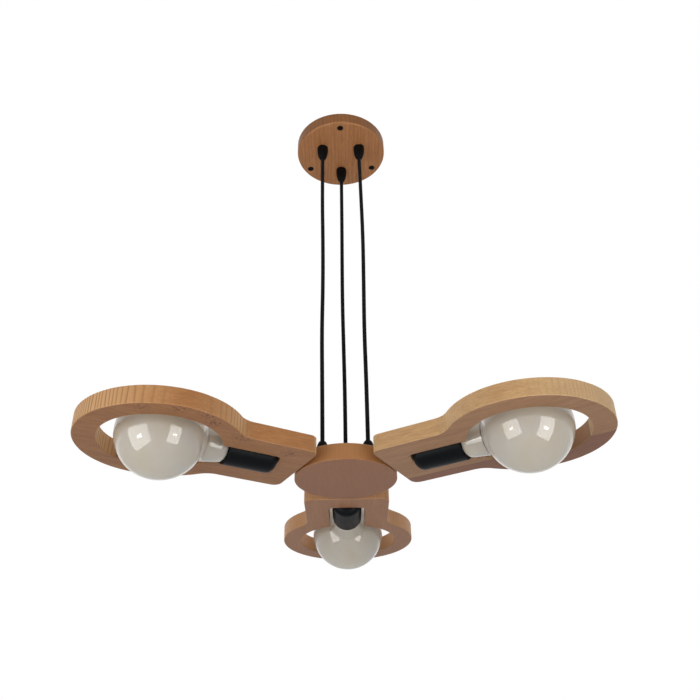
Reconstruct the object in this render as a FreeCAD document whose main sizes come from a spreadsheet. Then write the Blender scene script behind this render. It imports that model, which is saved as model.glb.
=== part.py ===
"""Wood pendant light: three spoon-shaped arms with globe bulbs round a hub that hangs on three cords.

Millimetres, +Z up. The origin is the centre of the canopy's screw circle on the ceiling plane, so the lamp
hangs towards -Z. The arms point to angle 210 (left), 330 (right) and 90 degrees (rear), and each cord
comes down between the centre and its own arm.
"""
import FreeCAD
import Part
import Sketcher
import math
import os
from types import SimpleNamespace

DRIVING_SIZES = {
    # canopy on the ceiling
    "canopy_diameter": 130.0,
    "canopy_thickness": 18.0,
    "canopy_edge_round": 3.0,
    "canopy_floor": 5.0,
    "canopy_pocket_share": 0.75,
    "ceiling_screw_inset": 11.0,
    "ceiling_screw_hole": 5.0,
    "ceiling_screw_head": 9.5,
    # cord grips, the same on the canopy and on the hub
    "grip_circle": 62.0,
    "grip_length": 22.5,
    "grip_base": 15.6,
    "grip_straight": 6.0,
    "grip_bevel": 0.8,
    "grip_mouth": 8.2,
    "grip_mouth_round": 1.2,
    "grip_thread": 10.0,
    "grip_thread_spare": 1.5,
    "grip_nut_across": 14.0,
    "grip_nut_thickness": 3.0,
    "clamp_screw": 3.5,
    "clamp_screw_length": 3.6,
    "clamp_screw_height": 4.0,
    # cords and their leads
    "cord_diameter": 5.2,
    "cord_length": 458.0,
    "cord_bore_clearance": 0.15,
    "pivot_clearance": 0.3,
    "lead_diameter": 1.8,
    "lead_spacing": 2.4,
    # terminal block in the canopy
    "terminal_width": 22.0,
    "terminal_height": 9.0,
    "terminal_screw": 3.4,
    "terminal_screw_length": 1.2,
    "terminal_screw_depth": 1.6,
    "terminal_screw_pitch": 6.5,
    "lead_entry_share": 0.7,
    "lead_reach_share": 0.25,
    # hub
    "hub_diameter": 120.0,
    "hub_thickness": 20.0,
    "hub_wall": 14.0,
    "hub_floor": 2.6,
    "hub_flat_depth": 1.0,
    "hub_flat_width_share": 1.33,
    "wood_edge_round": 0.8,
    "lid_thickness": 2.0,
    "lid_ledge": 7.0,
    "lid_clearance": 0.3,
    "lid_screw": 3.0,
    "lid_screw_head": 5.6,
    "lid_screw_length": 10.0,
    # arms
    "arm_gap": 2.4,
    "arm_thickness": 20.0,
    "neck_width": 106.0,
    "neck_corner_round": 10.0,
    "neck_blend": 25.0,
    "ring_diameter": 179.0,
    "ring_bore": 131.0,
    "slot_width": 46.3,
    "slot_start": 29.5,
    "slot_corner_round": 8.0,
    # hollow threaded tubes between hub and lamp holders
    "tube_diameter": 10.0,
    "tube_bore": 8.0,
    "tube_spare": 3.0,
    "tube_nut_across": 14.0,
    "tube_nut_thickness": 3.5,
    "spacer_diameter": 16.0,
    "thread_fit": 0.05,
    "drill_clearance": 0.15,
    # lamp holders
    "holder_diameter": 38.0,
    "holder_length": 60.0,
    "holder_wall": 2.2,
    "holder_back_round": 9.0,
    "holder_front_round": 1.0,
    "holder_mouth": 31.2,
    "holder_lip": 2.0,
    "skirt_length": 31.0,
    "cap_boss_diameter": 15.0,
    "cap_boss_share": 0.35,
    "skirt_groove": 0.5,
    "collar_length": 5.0,
    "collar_depth": 3.0,
    "collar_thickness": 1.5,
    "part_clearance": 0.1,
    "insert_flange": 4.0,
    "insert_floor": 9.0,
    "insert_cup": 10.0,
    "insert_clearance": 0.2,
    "shell_diameter": 28.0,
    "shell_sheet": 0.4,
    "shell_contact_bore": 18.0,
    "shell_lip_gap": 1.0,
    "contact_stem": 4.0,
    "contact_head": 7.0,
    "contact_sheet": 1.0,
    "contact_gap": 0.3,
    "insert_screw": 3.5,
    "insert_screw_length": 2.0,
    "insert_screw_spread": 16.0,
    # globe bulbs
    "globe_diameter": 97.0,
    "glass_wall": 1.0,
    "bulb_reveal": 2.0,
    "bulb_centre_distance": 69.5,
    "neck_back_diameter": 36.0,
    "neck_front_diameter": 40.0,
    "neck_length": 20.5,
    "neck_blend_rise": 3.0,
    "neck_blend_round": 8.0,
    "bulb_cap_diameter": 26.2,
    "bulb_cap_length": 21.5,
    "bulb_cap_sheet": 0.5,
    "bulb_cap_bevel": 1.5,
    "insulator_height": 3.3,
    "insulator_tip": 11.0,
    "tip_diameter": 9.0,
    "tip_thickness": 1.2,
    "tip_gap": 0.1,
    "led_stem": 16.0,
    "led_board": 30.0,
    "led_board_thickness": 1.6,
    "led_board_distance": 16.0,
    "driver_gap": 2.0,
    # how far cutting tools run past the faces that they cut
    "overrun": 2.0,
}

# Directions in degrees, anticlockwise from +X as seen from above
ARM_SIDES = ("left", "right", "rear")
ARM_ANGLES = (210, 330, 90)
CEILING_SCREW_ANGLES = (30, 150, 270)
LID_SCREW_ANGLES = (30, 150, 270)
GRIP_SCREW_ANGLE = 90

DIRECTION_DECIMALS = 12
LEVEL_TOLERANCE = 1e-6


class Size:
    """A number from the sheet, or one worked out from such numbers, with the formula that gives it."""

    def __init__(self, value, formula):
        self.value = value
        self.formula = formula

    def __add__(self, other):
        other = sized(other)
        return Size(self.value + other.value, f"({self.formula} + {other.formula})")

    def __sub__(self, other):
        other = sized(other)
        return Size(self.value - other.value, f"({self.formula} - {other.formula})")

    def __mul__(self, other):
        other = sized(other)
        return Size(self.value * other.value, f"({self.formula} * {other.formula})")

    def __truediv__(self, other):
        other = sized(other)
        return Size(self.value / other.value, f"({self.formula} / {other.formula})")

    def __neg__(self):
        return Size(-self.value, f"(-1 * {self.formula})")

    def root(self):
        return Size(math.sqrt(self.value), f"sqrt({self.formula})")


def sized(number):
    """Gives a plain number the form of a size."""
    if isinstance(number, Size):
        return number
    return Size(float(number), f"{float(number):.12f}")


def leg(hypotenuse, side):
    """The other short side of a right-angled triangle."""
    return (hypotenuse * hypotenuse - side * side).root()


def across(angle):
    """How far one step in a direction goes along +X."""
    return round(math.cos(math.radians(angle)), DIRECTION_DECIMALS)


def along(angle):
    """How far one step in a direction goes along +Y."""
    return round(math.sin(math.radians(angle)), DIRECTION_DECIMALS)


doc = FreeCAD.newDocument("WoodPendantLight")
sheet = doc.addObject("Spreadsheet::Sheet", "Sizes")
size = SimpleNamespace()
for row, (alias, value) in enumerate(DRIVING_SIZES.items(), start=1):
    sheet.set(f"A{row}", alias)
    sheet.set(f"B{row}", str(value))
    sheet.setAlias(f"B{row}", alias)
    setattr(size, alias, Size(value, f"Sizes.{alias}"))
doc.recompute()

# Levels and radii that several pieces share
canopy_underside = -size.canopy_thickness
upper_mouth = canopy_underside - size.grip_length
lower_mouth = upper_mouth - size.cord_length
hub_top = lower_mouth - size.grip_length
hub_bottom = hub_top - size.hub_thickness
arm_axis = hub_bottom + size.arm_thickness / 2
grip_radius = size.grip_circle / 2
hub_radius = size.hub_diameter / 2
hub_pocket_radius = hub_radius - size.hub_wall
lid_seat_radius = hub_pocket_radius + size.lid_ledge
lid_screw_radius = hub_pocket_radius + size.lid_ledge / 2
nut_seat = hub_pocket_radius + size.hub_flat_depth
arm_start = hub_radius + size.arm_gap
holder_back = arm_start + size.slot_start
ring_centre = holder_back + size.holder_length + size.bulb_reveal + size.bulb_centre_distance
holder_radius = size.holder_diameter / 2
canopy_thread_length = size.canopy_floor + size.grip_nut_thickness + size.grip_thread_spare
hub_thread_length = size.lid_thickness + size.grip_nut_thickness + size.grip_thread_spare

finished = []


def bind(thing, prop, amount):
    """Ties a property to the formula of a size."""
    thing.setExpression(prop, sized(amount).formula)


def put(thing, distance=0, angle=0, height=0, lying=False, roll=0):
    """Places a piece at a distance from the lamp's centre line; lying turns its own Z axis outwards."""
    distance = sized(distance)
    turn = FreeCAD.Rotation(FreeCAD.Vector(0, 0, 1), angle)
    if lying:
        turn = turn.multiply(FreeCAD.Rotation(FreeCAD.Vector(0, 1, 0), 90))
    turn = turn.multiply(FreeCAD.Rotation(FreeCAD.Vector(0, 0, 1), roll))
    thing.Placement = FreeCAD.Placement(FreeCAD.Vector(0, 0, 0), turn)
    bind(thing, "Placement.Base.x", distance * across(angle))
    bind(thing, "Placement.Base.y", distance * along(angle))
    bind(thing, "Placement.Base.z", height)
    return thing


def rod(name, radius, length):
    """A cylinder along its own Z axis."""
    piece = doc.addObject("Part::Cylinder", name)
    bind(piece, "Radius", radius)
    bind(piece, "Height", length)
    return piece


def block(name, length, width, height, corner_x=0, corner_y=0, corner_z=0):
    """A box that starts at its low corner."""
    piece = doc.addObject("Part::Box", name)
    bind(piece, "Length", length)
    bind(piece, "Width", width)
    bind(piece, "Height", height)
    bind(piece, "Placement.Base.x", corner_x)
    bind(piece, "Placement.Base.y", corner_y)
    bind(piece, "Placement.Base.z", corner_z)
    return piece


def cut(name, base, tools):
    """Takes tools away from a piece."""
    joined = doc.addObject("Part::MultiFuse", name + "_tools")
    joined.Shapes = tools
    piece = doc.addObject("Part::Cut", name)
    piece.Base = base
    piece.Tool = joined if len(tools) > 1 else tools[0]
    if len(tools) == 1:
        doc.removeObject(joined.Name)
    return piece


def group(name, pieces):
    """Several like solids under one name."""
    together = doc.addObject("Part::Compound", name)
    together.Links = pieces
    return together


def finish(name, piece):
    """Names a piece that is ready and lists it for writing."""
    piece.Label = name
    finished.append(piece)
    return piece


def draw(sketch, outline):
    """Draws a closed outline. A corner is (x, y), or (x, y, radius) where an arc of under half a turn leads
    to it, with its centre on the left of the way there, or on the right where the radius is negative."""
    corners = [[sized(number) for number in corner] for corner in outline]
    first = sketch.GeometryCount
    ends = []
    for index, corner in enumerate(corners):
        before = corners[index - 1]
        start = FreeCAD.Vector(before[0].value, before[1].value, 0)
        end = FreeCAD.Vector(corner[0].value, corner[1].value, 0)
        if len(corner) == 2:
            sketch.addGeometry(Part.LineSegment(start, end))
            ends.append((1, 2))
            continue
        radius = abs(corner[2].value)
        side = math.copysign(1, corner[2].value)
        way = end - start
        to_centre = math.sqrt(max(radius ** 2 - (way.Length / 2) ** 2, 0)) / way.Length
        centre = start + way / 2 + FreeCAD.Vector(-way.y, way.x, 0) * to_centre * side
        begin = math.atan2(start.y - centre.y, start.x - centre.x)
        stop = math.atan2(end.y - centre.y, end.x - centre.x)
        if side < 0:
            begin, stop = stop, begin
        circle = Part.Circle(centre, FreeCAD.Vector(0, 0, 1), radius)
        edge = sketch.addGeometry(Part.ArcOfCircle(circle, begin, stop))
        ends.append((1, 2) if side > 0 else (2, 1))
        limit = sketch.addConstraint(Sketcher.Constraint("Radius", edge, radius))
        bind(sketch, f"Constraints[{limit}]", corner[2] if side > 0 else -corner[2])
    for index, corner in enumerate(corners):
        edge = first + index
        after = first + (index + 1) % len(corners)
        start_point = ends[(index + 1) % len(corners)][0]
        end_point = ends[index][1]
        sketch.addConstraint(Sketcher.Constraint("Coincident", edge, end_point, after, start_point))
        for kind, amount in (("DistanceX", corner[0]), ("DistanceY", corner[1])):
            limit = sketch.addConstraint(Sketcher.Constraint(kind, edge, end_point, amount.value))
            bind(sketch, f"Constraints[{limit}]", amount)


def new_sketch(body, role, name):
    """An empty sketch on one of the body's own origin planes."""
    sketch = body.newObject("Sketcher::SketchObject", name)
    plane = next(feature for feature in body.Origin.OriginFeatures if feature.Role == role)
    sketch.AttachmentSupport = [(plane, "")]
    sketch.MapMode = "FlatFace"
    return sketch


def turned(name, outline, upright=False):
    """A piece turned from an outline of (along, radius) about X, or of (radius, height) about Z if upright."""
    body = doc.addObject("PartDesign::Body", name)
    sketch = new_sketch(body, "XZ_Plane" if upright else "XY_Plane", name + "_outline")
    draw(sketch, outline)
    turning = body.newObject("PartDesign::Revolution", name + "_turning")
    turning.Profile = sketch
    turning.ReferenceAxis = (sketch, ["V_Axis" if upright else "H_Axis"])
    turning.Angle = 360
    return body


def milled(name, outlines, thickness):
    """A plate padded upwards from one outer and any inner outlines."""
    body = doc.addObject("PartDesign::Body", name)
    sketch = new_sketch(body, "XY_Plane", name + "_outline")
    for outline in outlines:
        draw(sketch, outline)
    pad = body.newObject("PartDesign::Pad", name + "_plate")
    pad.Profile = sketch
    bind(pad, "Length", thickness)
    return body, pad


def soften(body, pad, radius):
    """Rounds the edges of a plate's two flat faces."""
    doc.recompute()
    levels = (pad.Shape.BoundBox.ZMin, pad.Shape.BoundBox.ZMax)
    names = []
    for number, edge in enumerate(pad.Shape.Edges, start=1):
        heights = [vertex.Z for vertex in edge.Vertexes]
        if any(max(abs(height - level) for height in heights) < LEVEL_TOLERANCE for level in levels):
            names.append(f"Edge{number}")
    rounding = body.newObject("PartDesign::Fillet", body.Name + "_edges")
    rounding.Base = (pad, names)
    bind(rounding, "Radius", radius)


def bent_lead(name, sideways, outline):
    """A lead swept along an outline in its own XZ plane, from a round section on its XY plane."""
    body = doc.addObject("PartDesign::Body", name)
    start = sized(outline[0][0])
    section = new_sketch(body, "XY_Plane", name + "_section")
    centre = FreeCAD.Vector(start.value, sideways.value, 0)
    section.addGeometry(Part.Circle(centre, FreeCAD.Vector(0, 0, 1), size.lead_diameter.value / 2))
    for kind, amount in (("DistanceX", start), ("DistanceY", sideways)):
        limit = section.addConstraint(Sketcher.Constraint(kind, 0, 3, amount.value))
        bind(section, f"Constraints[{limit}]", amount)
    limit = section.addConstraint(Sketcher.Constraint("Radius", 0, size.lead_diameter.value / 2))
    bind(section, f"Constraints[{limit}]", size.lead_diameter / 2)
    path = new_sketch(body, "XZ_Plane", name + "_path")
    draw_path(path, outline)
    sweep = body.newObject("PartDesign::AdditivePipe", name + "_sweep")
    sweep.Profile = section
    sweep.Spine = (path, ["Edge1", "Edge2"])
    return body


def draw_path(sketch, outline):
    """Draws an open path: an arc from its first point to its second, then a line to its third."""
    start, bend, end = [[sized(number) for number in point] for point in outline]
    radius = abs(bend[2].value)
    side = math.copysign(1, bend[2].value)
    centre = FreeCAD.Vector(bend[0].value, start[1].value, 0)
    begin = math.atan2(start[1].value - centre.y, start[0].value - centre.x)
    stop = math.atan2(bend[1].value - centre.y, bend[0].value - centre.x)
    if side < 0:
        begin, stop = stop, begin
    circle = Part.Circle(centre, FreeCAD.Vector(0, 0, 1), radius)
    sketch.addGeometry(Part.ArcOfCircle(circle, begin, stop))
    first, last = (1, 2) if side > 0 else (2, 1)
    bend_point = FreeCAD.Vector(bend[0].value, bend[1].value, 0)
    end_point = FreeCAD.Vector(end[0].value, end[1].value, 0)
    sketch.addGeometry(Part.LineSegment(bend_point, end_point))
    limit = sketch.addConstraint(Sketcher.Constraint("Radius", 0, radius))
    bind(sketch, f"Constraints[{limit}]", bend[2] if side > 0 else -bend[2])
    sketch.addConstraint(Sketcher.Constraint("Coincident", 0, last, 1, 1))
    for edge, point, place in ((0, first, start), (1, 1, bend), (1, 2, end)):
        for kind, amount in (("DistanceX", place[0]), ("DistanceY", place[1])):
            limit = sketch.addConstraint(Sketcher.Constraint(kind, edge, point, amount.value))
            bind(sketch, f"Constraints[{limit}]", amount)


def hexagon_nut(name, flats, thickness, bore):
    """A hexagon nut along its own Z axis."""
    prism = doc.addObject("Part::Prism", name + "_hexagon")
    prism.Polygon = 6
    bind(prism, "Circumradius", flats / sized(3).root())
    bind(prism, "Height", thickness)
    return cut(name, prism, [rod(name + "_bore", bore, thickness)])


def make_canopy():
    """The turned wooden canopy: hollow towards the ceiling, with screw and grip holes."""
    radius = size.canopy_diameter / 2
    pocket = radius * size.canopy_pocket_share
    screw_circle = radius - size.ceiling_screw_inset
    floor = canopy_underside + size.canopy_floor
    plate = turned("canopy_turning", [
        (0, canopy_underside),
        (radius - size.canopy_edge_round, canopy_underside),
        (radius, canopy_underside + size.canopy_edge_round, size.canopy_edge_round),
        (radius, 0),
        (pocket, 0),
        (pocket, floor),
        (0, floor),
    ], upright=True)
    hole = size.ceiling_screw_hole / 2
    head = size.ceiling_screw_head / 2
    below = canopy_underside - size.overrun
    tools = []
    for number, angle in enumerate(CEILING_SCREW_ANGLES):
        shank = rod(f"screw_hole_{number}", hole, size.canopy_thickness + size.overrun * 2)
        tools.append(put(shank, screw_circle, angle, below))
        sink = doc.addObject("Part::Cone", f"screw_sink_{number}")
        bind(sink, "Radius1", head)
        bind(sink, "Radius2", hole)
        bind(sink, "Height", head - hole)
        tools.append(put(sink, screw_circle, angle, canopy_underside))
    for side, angle in zip(ARM_SIDES, ARM_ANGLES):
        thread = size.grip_thread / 2 + size.drill_clearance
        drill = rod(f"canopy_grip_hole_{side}", thread, size.canopy_floor + size.overrun * 2)
        tools.append(put(drill, grip_radius, angle, below))
    finish("canopy_plate", cut("canopy_plate", plate, tools))


def make_grip(name, thread_length):
    """A tapered cord grip with its mouth down and its thread up; its seat is its own XY plane."""
    bore = size.cord_diameter / 2 + size.cord_bore_clearance
    base = size.grip_base / 2
    mouth = size.grip_mouth / 2
    nose = size.grip_mouth_round
    taper = size.grip_length - size.grip_straight
    return turned(name, [
        (bore, thread_length),
        (size.grip_thread / 2, thread_length),
        (size.grip_thread / 2, 0),
        (base - size.grip_bevel, 0),
        (base, -size.grip_bevel),
        (base, -size.grip_straight),
        (mouth + (base - mouth) * (nose / taper), nose - size.grip_length),
        (mouth - nose, -size.grip_length, -nose),
        (bore, -size.grip_length),
    ], upright=True)


def place_upright(piece, angle, height, upside_down):
    """Stands a piece on the grip circle, turned over if it belongs to the hub."""
    put(piece, grip_radius, angle, height)
    if upside_down:
        half_turn = FreeCAD.Rotation(FreeCAD.Vector(1, 0, 0), 180)
        piece.Placement = FreeCAD.Placement(piece.Placement.Base, half_turn)
        bind(piece, "Placement.Base.z", height)
    return piece


def make_grips(place, seat, thread_length, upside_down):
    """Three grips with their nuts, clamp screws and the cord ends that they hold."""
    nuts = []
    screws = []
    tails = []
    way = -1 if upside_down else 1
    carried = size.lid_thickness if upside_down else size.canopy_floor
    nut_height = seat + (carried if not upside_down else -(carried + size.grip_nut_thickness))
    screw_height = seat - size.clamp_screw_height * way
    screw_reach = size.grip_base / 2 - size.clamp_screw_length
    for side, angle in zip(ARM_SIDES, ARM_ANGLES):
        name = f"{place}_grip_{side}"
        grip = place_upright(make_grip(name + "_body", thread_length), angle, seat, upside_down)
        drill = rod(name + "_screw_hole", size.clamp_screw / 2, size.grip_base)
        screw = rod(name + "_screw", size.clamp_screw / 2, size.clamp_screw_length)
        for tool in (drill, screw):
            put(tool, 0, GRIP_SCREW_ANGLE, screw_height, lying=True)
            bind(tool, "Placement.Base.x", grip_radius * across(angle))
            bind(tool, "Placement.Base.y", grip_radius * along(angle) + screw_reach)
        finish(name, cut(name, grip, [drill]))
        screws.append(screw)
        bore = size.grip_thread / 2 + size.thread_fit
        nut = hexagon_nut(name + "_nut", size.grip_nut_across, size.grip_nut_thickness, bore)
        nuts.append(put(nut, grip_radius, angle, nut_height))
        tail = rod(name + "_tail", size.cord_diameter / 2, size.grip_length + thread_length)
        tails.append(put(tail, grip_radius, angle, seat - (thread_length if upside_down else size.grip_length)))
    finish(f"{place}_grip_nuts", group(f"{place}_grip_nuts", nuts))
    finish(f"{place}_grip_screws", group(f"{place}_grip_screws", screws))
    finish(f"{place}_cord_ends", group(f"{place}_cord_ends", tails))


def make_terminal_block():
    """The terminal block on the canopy's floor, with six screws in wells."""
    width = size.terminal_width
    height = size.terminal_height
    floor = canopy_underside + size.canopy_floor
    top = floor + height
    body = block("terminal_body", width, width, height, -width / 2, -width / 2, floor)
    radius = size.terminal_screw / 2
    wells = []
    screws = []
    for row in (-1, 1):
        for column in (-1, 0, 1):
            label = f"{row + 1}{column + 1}"
            well = rod("terminal_well_" + label, radius, size.terminal_screw_depth + size.overrun)
            screw = rod("terminal_screw_" + label, radius, size.terminal_screw_length)
            for piece in (well, screw):
                bind(piece, "Placement.Base.x", size.terminal_screw_pitch * column)
                bind(piece, "Placement.Base.y", size.terminal_screw_pitch * row)
                bind(piece, "Placement.Base.z", top - size.terminal_screw_depth)
            wells.append(well)
            screws.append(screw)
    terminal = finish("terminal_block", cut("terminal_block", body, wells))
    finish("terminal_screws", group("terminal_screws", screws))
    return terminal


def make_canopy_leads(terminal):
    """Live and neutral leads from each cord end to the terminal block."""
    start = canopy_underside + canopy_thread_length
    middle = canopy_underside + size.canopy_floor + size.terminal_height * size.lead_entry_share
    bend = middle - start
    for kind, way in (("live", 1), ("neutral", -1)):
        leads = []
        for side, angle in zip(ARM_SIDES, ARM_ANGLES):
            name = f"canopy_lead_{kind}_{side}"
            path = [
                (grip_radius, 0),
                (grip_radius - bend, bend, bend),
                (size.terminal_width * size.lead_reach_share, bend),
            ]
            lead = put(bent_lead(name + "_body", size.lead_spacing / 2 * way, path), 0, angle, start)
            leads.append(cut(name, lead, [terminal]))
        finish(f"canopy_leads_{kind}", group(f"canopy_leads_{kind}", leads))


def make_cords():
    """The three free stretches of cord, with round ends that turn in the grips' mouths."""
    radius = size.cord_diameter / 2
    length = size.cord_length - size.pivot_clearance * 2
    for side, angle in zip(ARM_SIDES, ARM_ANGLES):
        name = f"cord_{side}"
        cord = turned(name, [
            (0, 0),
            (radius, radius, radius),
            (radius, length - radius),
            (0, length, radius),
        ], upright=True)
        finish(name, put(cord, grip_radius, angle, lower_mouth + size.pivot_clearance))


def make_hub():
    """The turned wooden hub, open at the top for its lid."""
    edge = size.wood_edge_round
    top = size.hub_thickness
    seat = top - size.lid_thickness
    axis = size.arm_thickness / 2
    turning = turned("hub_turning", [
        (0, 0),
        (hub_radius - edge, 0),
        (hub_radius, edge, edge),
        (hub_radius, top - edge),
        (hub_radius - edge, top, edge),
        (lid_seat_radius + size.lid_clearance, top),
        (lid_seat_radius + size.lid_clearance, seat),
        (hub_pocket_radius, seat),
        (hub_pocket_radius, size.hub_floor),
        (0, size.hub_floor),
    ], upright=True)
    put(turning, 0, 0, hub_bottom)
    tools = []
    flat_width = size.tube_nut_across * size.hub_flat_width_share
    flat_depth = size.hub_flat_depth + size.overrun
    for side, angle in zip(ARM_SIDES, ARM_ANGLES):
        drill = rod(f"hub_tube_hole_{side}", size.tube_diameter / 2 + size.drill_clearance,
                    size.hub_wall + size.overrun * 2)
        tools.append(put(drill, hub_pocket_radius - size.overrun, angle, hub_bottom + axis, lying=True))
        flat = block(f"hub_nut_flat_{side}", flat_depth, flat_width, seat - size.hub_floor,
                     nut_seat - flat_depth, -flat_width / 2, hub_bottom + size.hub_floor)
        tools.append(turn_about_centre(flat, angle))
    for number, angle in enumerate(LID_SCREW_ANGLES):
        hole = rod(f"hub_screw_hole_{number}", size.lid_screw / 2 + size.thread_fit, size.lid_screw_length)
        tools.append(put(hole, lid_screw_radius, angle, hub_top - size.lid_screw_length))
    finish("hub_body", cut("hub_body", turning, tools))


def turn_about_centre(piece, angle):
    """Turns a piece about the lamp's centre line."""
    carrier = doc.addObject("Part::Compound", piece.Name + "_turned")
    carrier.Links = [piece]
    return put(carrier, 0, angle)


def make_lid():
    """The steel lid plate that carries the hub on its grips, and its countersunk screws."""
    plate = put(rod("lid_disc", lid_seat_radius, size.lid_thickness), 0, 0, hub_top - size.lid_thickness)
    head = size.lid_screw_head / 2
    shank = size.lid_screw / 2
    head_height = head - shank
    tools = []
    screws = []
    for side, angle in zip(ARM_SIDES, ARM_ANGLES):
        drill = rod(f"lid_grip_hole_{side}", size.grip_thread / 2 + size.drill_clearance,
                    size.lid_thickness + size.overrun * 2)
        tools.append(put(drill, grip_radius, angle, hub_top - size.lid_thickness - size.overrun))
    for number, angle in enumerate(LID_SCREW_ANGLES):
        screw = turned(f"lid_screw_{number}", [
            (0, -size.lid_screw_length),
            (shank, -size.lid_screw_length),
            (shank, -head_height),
            (head, 0),
            (0, 0),
        ], upright=True)
        screws.append(put(screw, lid_screw_radius, angle, hub_top))
        hole = turned(f"lid_screw_hole_{number}", [
            (0, -size.lid_screw_length),
            (shank + size.thread_fit, -size.lid_screw_length),
            (shank + size.thread_fit, -head_height),
            (head + size.thread_fit, 0),
            (0, 0),
        ], upright=True)
        tools.append(put(hole, lid_screw_radius, angle, hub_top))
    finish("hub_lid_plate", cut("hub_lid_plate", plate, tools))
    finish("hub_lid_screws", group("hub_lid_screws", screws))


def arm_outlines():
    """The arm's outer outline and its keyhole opening, with the arm along +X from the lamp's centre line."""
    half_neck = size.neck_width / 2
    corner = size.neck_corner_round
    ring = size.ring_diameter / 2
    bore = size.ring_bore / 2
    blend = size.neck_blend
    blend_side = half_neck + blend
    blend_reach = leg(ring + blend, blend_side)
    touch = ring / (ring + blend)
    neck_end = ring_centre - blend_reach
    ring_x = ring_centre - blend_reach * touch
    ring_y = blend_side * touch
    outer = [
        (arm_start + corner, -half_neck, corner),
        (neck_end, -half_neck),
        (ring_x, -ring_y, -blend),
        (ring_centre + ring, 0, ring),
        (ring_x, ring_y, ring),
        (neck_end, half_neck, -blend),
        (arm_start + corner, half_neck),
        (arm_start, half_neck - corner, corner),
        (arm_start, corner - half_neck),
    ]
    half_slot = size.slot_width / 2
    slot_back = arm_start + size.slot_start
    slot_round = size.slot_corner_round
    mouth = ring_centre - leg(bore, half_slot)
    opening = [
        (slot_back + slot_round, -half_slot, slot_round),
        (mouth, -half_slot),
        (ring_centre + bore, 0, bore),
        (mouth, half_slot, bore),
        (slot_back + slot_round, half_slot),
        (slot_back, half_slot - slot_round, slot_round),
        (slot_back, slot_round - half_slot),
    ]
    return [outer, opening]


def make_arm(side, angle):
    """One wooden arm: a neck that opens into a ring, drilled along its axis for the threaded tube."""
    name = f"arm_{side}"
    body, pad = milled(name + "_board", arm_outlines(), size.arm_thickness)
    soften(body, pad, size.wood_edge_round)
    bore = size.tube_diameter / 2 + size.drill_clearance
    drill = rod(name + "_hole", bore, size.slot_start + size.overrun * 2)
    put(drill, arm_start - size.overrun, 0, size.arm_thickness / 2, lying=True)
    arm = cut(name, body, [drill])
    finish(name, put(arm, 0, angle, hub_bottom))


def make_tubes():
    """The hollow threaded tubes that join hub, arm and holder, with their nuts and spacers."""
    inner_end = nut_seat - size.tube_nut_thickness - size.tube_spare
    outer_end = holder_back + cap_boss_end() - size.tube_spare
    radius = size.tube_diameter / 2
    tubes = []
    nuts = []
    spacers = []
    for side, angle in zip(ARM_SIDES, ARM_ANGLES):
        tube = turned(f"tube_{side}", [
            (inner_end, size.tube_bore / 2),
            (inner_end, radius),
            (outer_end, radius),
            (outer_end, size.tube_bore / 2),
        ])
        tubes.append(put(tube, 0, angle, arm_axis))
        nut = hexagon_nut(f"tube_nut_{side}", size.tube_nut_across, size.tube_nut_thickness,
                          radius + size.thread_fit)
        nuts.append(put(nut, nut_seat - size.tube_nut_thickness, angle, arm_axis, lying=True, roll=30))
        ring = turned(f"spacer_ring_{side}", [
            (hub_radius - size.arm_gap, radius + size.drill_clearance),
            (hub_radius - size.arm_gap, size.spacer_diameter / 2),
            (arm_start, size.spacer_diameter / 2),
            (arm_start, radius + size.drill_clearance),
        ])
        put(ring, 0, angle, arm_axis)
        hub_side = rod(f"spacer_seat_{side}", hub_radius, size.hub_thickness)
        put(hub_side, 0, 0, hub_bottom)
        spacers.append(cut(f"spacer_{side}", ring, [hub_side]))
    finish("arm_tubes", group("arm_tubes", tubes))
    finish("arm_tube_nuts", group("arm_tube_nuts", nuts))
    finish("arm_spacers", group("arm_spacers", spacers))


def make_hub_leads():
    """Live and neutral leads from each cord end through the tube to its lamp holder."""
    start = hub_top - hub_thread_length
    bend = start - arm_axis
    terminal = holder_back + insert_back()
    for kind, way in (("live", 1), ("neutral", -1)):
        leads = []
        for side, angle in zip(ARM_SIDES, ARM_ANGLES):
            path = [
                (grip_radius, 0),
                (grip_radius + bend, -bend, bend),
                (terminal, -bend),
            ]
            lead = bent_lead(f"hub_lead_{kind}_{side}", size.lead_spacing / 2 * way, path)
            leads.append(put(lead, 0, angle, start))
        finish(f"hub_leads_{kind}", group(f"hub_leads_{kind}", leads))


def cap_end():
    """Where the holder's cap ends and its skirt begins, from the holder's back."""
    return size.holder_length - size.skirt_length


def cap_collar_back():
    """Where the skirt's collar ends inside the cap, from the holder's back."""
    return cap_end() - size.collar_length


def insert_back():
    """Where the insert starts, from the holder's back."""
    return cap_collar_back() - size.insert_flange


def cap_boss_end():
    """How far the cap's threaded boss reaches towards the insert, from the holder's back."""
    return size.holder_wall + (insert_back() - size.holder_wall) * size.cap_boss_share


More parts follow.
